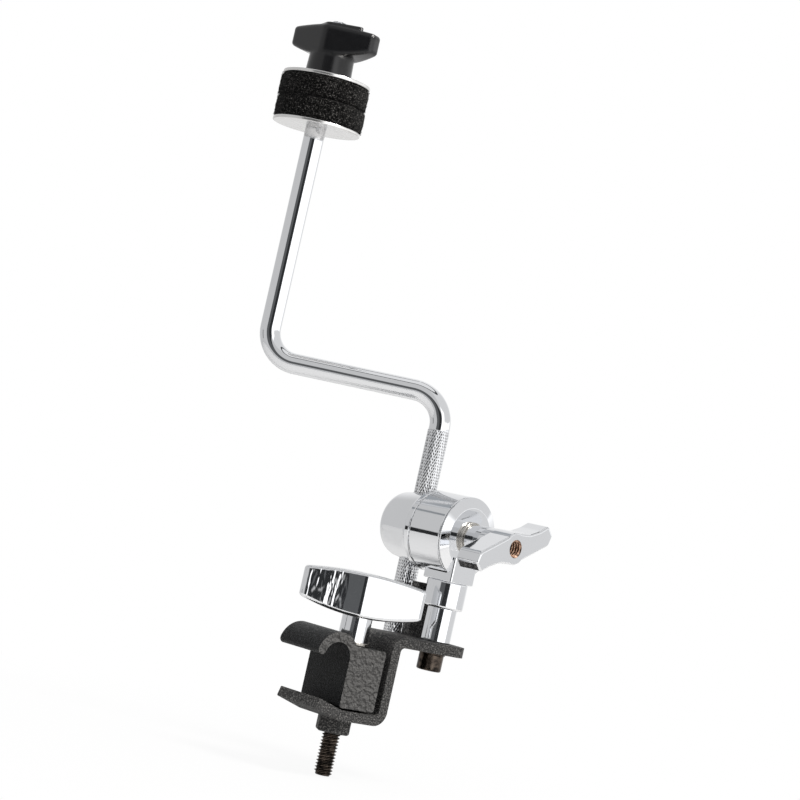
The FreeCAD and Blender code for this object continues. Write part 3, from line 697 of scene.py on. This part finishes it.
def build_rod():
    """Knurled leg, two bends and the upper leg as one skin, and the threaded stud on top."""
    foot, corner, knee, seat = rod_points()
    across = (knee - corner).normalized()
    sideways = across.cross(UP)
    columns = 2 * KNURL_STARTS
    rings = []

    def ring(centre, tangent, radius, crossing=0.0, parity=0):
        """Points round the rod; with a crossing, every other one is that much deeper."""
        inward = sideways.cross(tangent)
        loop = []
        for i in range(columns):
            angle = 2 * math.pi * i / columns
            r = radius - (crossing if (i + parity) % 2 else 0.0)
            loop.append(centre + (sideways * math.cos(angle) + inward * math.sin(angle)) * r)
        rings.append(loop)

    knurl_top = knurl_end()
    ring(foot, UP, KNURL_RADIUS - ROD_FOOT_CHAMFER)
    start = foot.z + ROD_FOOT_CHAMFER
    rows = int((knurl_top - start) / KNURL_ROW)
    for row in range(rows + 1):
        centre = Vector((foot.x, foot.y, start + row * (knurl_top - start) / rows))
        ring(centre, UP, KNURL_RADIUS, KNURL_DEPTH, row % 2)
    knurled_rings = len(rings)

    def straight(begin, end, pieces):
        """Plain leg from one place to another."""
        for k in range(1, pieces + 1):
            ring(begin.lerp(end, k / pieces), (end - begin).normalized(), ROD_RADIUS)

    def bend(at, incoming, outgoing):
        """Quarter turn that touches both legs."""
        begin = at - incoming * BEND_RADIUS
        for k in range(1, BEND_STEPS + 1):
            a = math.pi / 2 * k / BEND_STEPS
            centre = (begin + incoming * BEND_RADIUS * math.sin(a)
                      + outgoing * BEND_RADIUS * (1 - math.cos(a)))
            ring(centre, (incoming * math.cos(a) + outgoing * math.sin(a)).normalized(),
                 ROD_RADIUS)

    shoulder = Vector((foot.x, foot.y, knurl_top)) + UP * KNURL_SHOULDER
    ring(shoulder, UP, ROD_RADIUS)
    straight(shoulder, corner - UP * BEND_RADIUS, 2)
    bend(corner, UP, across)
    straight(corner + across * BEND_RADIUS, knee - across * BEND_RADIUS, 12)
    bend(knee, across, UP)
    straight(knee + UP * BEND_RADIUS, seat, 16)

    bm = bmesh.new()
    skinned = [[bm.verts.new(point) for point in loop] for loop in rings]
    for k, (lower, upper) in enumerate(zip(skinned, skinned[1:])):
        knurled = 0 < k < knurled_rings - 1
        parity = (k - 1) % 2
        for i in range(columns):
            j = (i + 1) % columns
            if not knurled:
                bm.faces.new((lower[i], lower[j], upper[j], upper[i])).smooth = k >= knurled_rings
            elif (i + parity) % 2:
                bm.faces.new((lower[i], lower[j], upper[i]))
                bm.faces.new((lower[j], upper[j], upper[i]))
            else:
                bm.faces.new((lower[i], lower[j], upper[j]))
                bm.faces.new((lower[i], upper[j], upper[i]))
    bm.faces.new(list(reversed(skinned[0])))
    bm.faces.new(skinned[-1])
    link("z_rod_detailed", bm, "rod", "rod_chrome", smooth=None, replaces=("z_rod",))

    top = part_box("z_rod")[1].z
    stud = threaded(Matrix.Translation((seat.x, seat.y, 0)), seat.z - STUD_SUNK, top, STUD_CREST,
                    STUD_ROOT, STUD_PITCH, chamfer=STUD_CHAMFER)
    link("z_rod_stud", stud, "rod", "rod_chrome", smooth=False)


# ---------------------------------------------------------------- clamp screw
def build_clamp_screw():
    """Turned thread up to the retaining ring, and the plain shank above it."""
    low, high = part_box("clamp_screw")
    axis = Vector(((low.x + high.x) / 2, (low.y + high.y) / 2, 0))
    thread_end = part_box("retaining_ring")[0].z
    thread = threaded(Matrix.Translation(axis), low.z, thread_end, SCREW_RADIUS, SCREW_ROOT,
                      SCREW_PITCH, chamfer=SCREW_CHAMFER)
    link("clamp_screw_thread", thread, "screw", "black_steel", smooth=False,
         replaces=("clamp_screw",))
    shank = bmesh.new()
    loops = []
    for z, radius in ((thread_end, SCREW_ROOT), (thread_end + SHANK_RUNOUT, SCREW_RADIUS),
                      (high.z - SHANK_CHAMFER, SCREW_RADIUS),
                      (high.z, SCREW_RADIUS - SHANK_CHAMFER)):
        loops.append([axis + Vector((radius * math.cos(a), radius * math.sin(a), z))
                      for a in (2 * math.pi * i / SHANK_SIDES for i in range(SHANK_SIDES))])
    add_loops(shank, loops)
    link("clamp_screw_shank", shank, "screw", "black_steel")


# ---------------------------------------------------------------- swivel clamp
def clamp_frame():
    """Place of the clamp's own axes (Z towards the wing nut, Y up), and that Z axis."""
    spin = joints["clamp_nut_spin"]
    forward = Vector(spin["axis"])
    across = UP.cross(forward)
    turn = Matrix((across, UP, forward)).transposed().to_4x4()
    return Matrix.Translation(Vector(spin["pos_m"])) @ turn, forward


def extent_along(node, origin, axis):
    """Lowest and highest place of a node along an axis."""
    places = [(vert.co - origin).dot(axis) for vert in nodes[node].data.vertices]
    return min(places), max(places)


def build_nut_thread():
    """Copper-toned thread that shows in the open front of the wing nut."""
    place, forward = clamp_frame()
    bolt_end = extent_along("eye_bolt", place.translation, forward)[1]
    front = extent_along("wing_nut", place.translation, forward)[1]
    liner = threaded(place, bolt_end + NUT_THREAD_ENDS[0], front - NUT_THREAD_ENDS[1],
                     NUT_THREAD_CREST, NUT_THREAD_ROOT, SCREW_PITCH, wall=NUT_THREAD_WALL)
    link("wing_nut_thread", liner, "clamp_nut", "bright_steel", smooth=False,
         material=copper_thread)


def build_ratchet():
    """Fine radial teeth in the seam behind the ring."""
    place, forward = clamp_frame()
    ring_back = extent_along("swivel_ring", place.translation, forward)[0]
    holder_front = extent_along("rod_holder", place.translation, forward)[1]
    inner, outer = RATCHET_RADII
    base = holder_front - RATCHET_SUNK
    bm = bmesh.new()
    loops = [[], [], [], []]
    for i in range(RATCHET_TEETH * 4):
        angle = 2 * math.pi * i / (RATCHET_TEETH * 4)
        z = ring_back - RATCHET_CLEAR if i % 4 < 2 else holder_front + RATCHET_VALLEY
        for loop, radius, height in ((loops[0], inner, base), (loops[1], inner, z),
                                     (loops[2], outer, z), (loops[3], outer, base)):
            loop.append(Vector((radius * math.cos(angle), radius * math.sin(angle), height)))
    add_loops(bm, loops + [loops[0]], close_ends=False)
    bmesh.ops.remove_doubles(bm, verts=bm.verts, dist=1e-8)
    bm.transform(place)
    link("ratchet_teeth", bm, "holder", "chrome", smooth=False)


# ---------------------------------------------------------------- felts
def build_felt(node, body, lean, seed):
    """Die-cut felt disc: bulging, uneven rim with loose fibres."""
    low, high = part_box(node)
    centre = (low + high) / 2
    outer = (high.x - low.x) / 2 - FELT_IN[0]
    half = (high.z - low.z) / 2 - FELT_IN[1]
    # the outline runs along the bottom face, up round the rim, back along the top, down the bore
    shape = [(FELT_BORE, -half), (FELT_BORE + 3 * MM, -half), (outer - 5 * MM, -half)]
    for k in range(FELT_ARC + 1):
        a = math.pi / 2 * k / FELT_ARC
        shape.append((outer - FELT_ROUNDING * (1 - math.sin(a)),
                      -half + FELT_ROUNDING * (1 - math.cos(a))))
    lower_half = list(shape)
    shape += [(outer, -half + FELT_ROUNDING + (2 * half - 2 * FELT_ROUNDING) * k / FELT_ROWS)
              for k in range(1, FELT_ROWS)]
    shape += [(r, -z) for r, z in reversed(lower_half)]
    shape += [(FELT_BORE, half * (1 - 2 * k / FELT_ARC)) for k in range(1, FELT_ARC)]
    drift = Vector((seed * 3.1, seed * 1.7, 0))

    def rough(point, size, gain):
        """Unevenness of one size, different for each felt."""
        return noise.noise((point + drift) / size) * gain

    loops = []
    for r, z in shape:
        loop = []
        for i in range(FELT_SIDES):
            a = 2 * math.pi * i / FELT_SIDES
            point = Vector((r * math.cos(a), r * math.sin(a), z))
            push = 0.0
            if r > outer - 2 * MM:
                push = FELT_BULGE * (1 - (z / half) ** 2)
                for size, gain in FELT_ROUGHNESS:
                    push += rough(point, size, gain)
                push -= FELT_PULLED_IN
            radial = Vector((math.cos(a), math.sin(a), 0))
            loop.append(centre + point + radial * push + lean)
        loops.append(loop)
    bm = bmesh.new()
    add_loops(bm, loops + [loops[0]], close_ends=False)
    bmesh.ops.remove_doubles(bm, verts=bm.verts, dist=1e-8)
    add_fibres(bm, centre + lean, outer, half)
    piece = link(node + "_pressed", bm, body, "felt", replaces=(node,))


def add_fibres(bm, centre, outer, half):
    """Short curled fibres standing off the rim, each a thin closed sliver."""
    limit = half - 0.02 * MM
    for _ in range(FELT_FIBRES):
        a = random.uniform(0, 2 * math.pi)
        z = random.uniform(-half * 0.97, half * 0.97)
        radial = Vector((math.cos(a), math.sin(a), 0))
        along = Vector((-math.sin(a), math.cos(a), 0))
        root = centre + radial * (outer - 0.15 * MM) + UP * z
        length = random.uniform(0.5, 1.1) * MM
        lean = along * random.uniform(-1, 1) + UP * random.uniform(-1, 1)
        middle = root + radial * length * 0.55 + lean * length * 0.3
        end = root + radial * length * random.uniform(0.4, 0.8) + lean * length * 0.8
        for point in (middle, end):
            point.z = max(centre.z - limit, min(centre.z + limit, point.z))
        width = random.uniform(0.035, 0.06) * MM
        loops = []
        for point, size in ((root, width), (middle, width), (end, width * 0.5)):
            loops.append([point + along * size, point + UP * size - along * size * 0.5,
                          point - UP * size - along * size * 0.5])
        add_loops(bm, loops)


# ---------------------------------------------------------------- assembly
make_camera()
build_rod()
build_clamp_screw()
build_nut_thread()
build_ratchet()
build_felt("lower_felt", "rod", level_right * 0.10 * MM, 1)
build_felt("upper_felt", "seat_top", level_right * -0.15 * MM, 2)
make_studio()
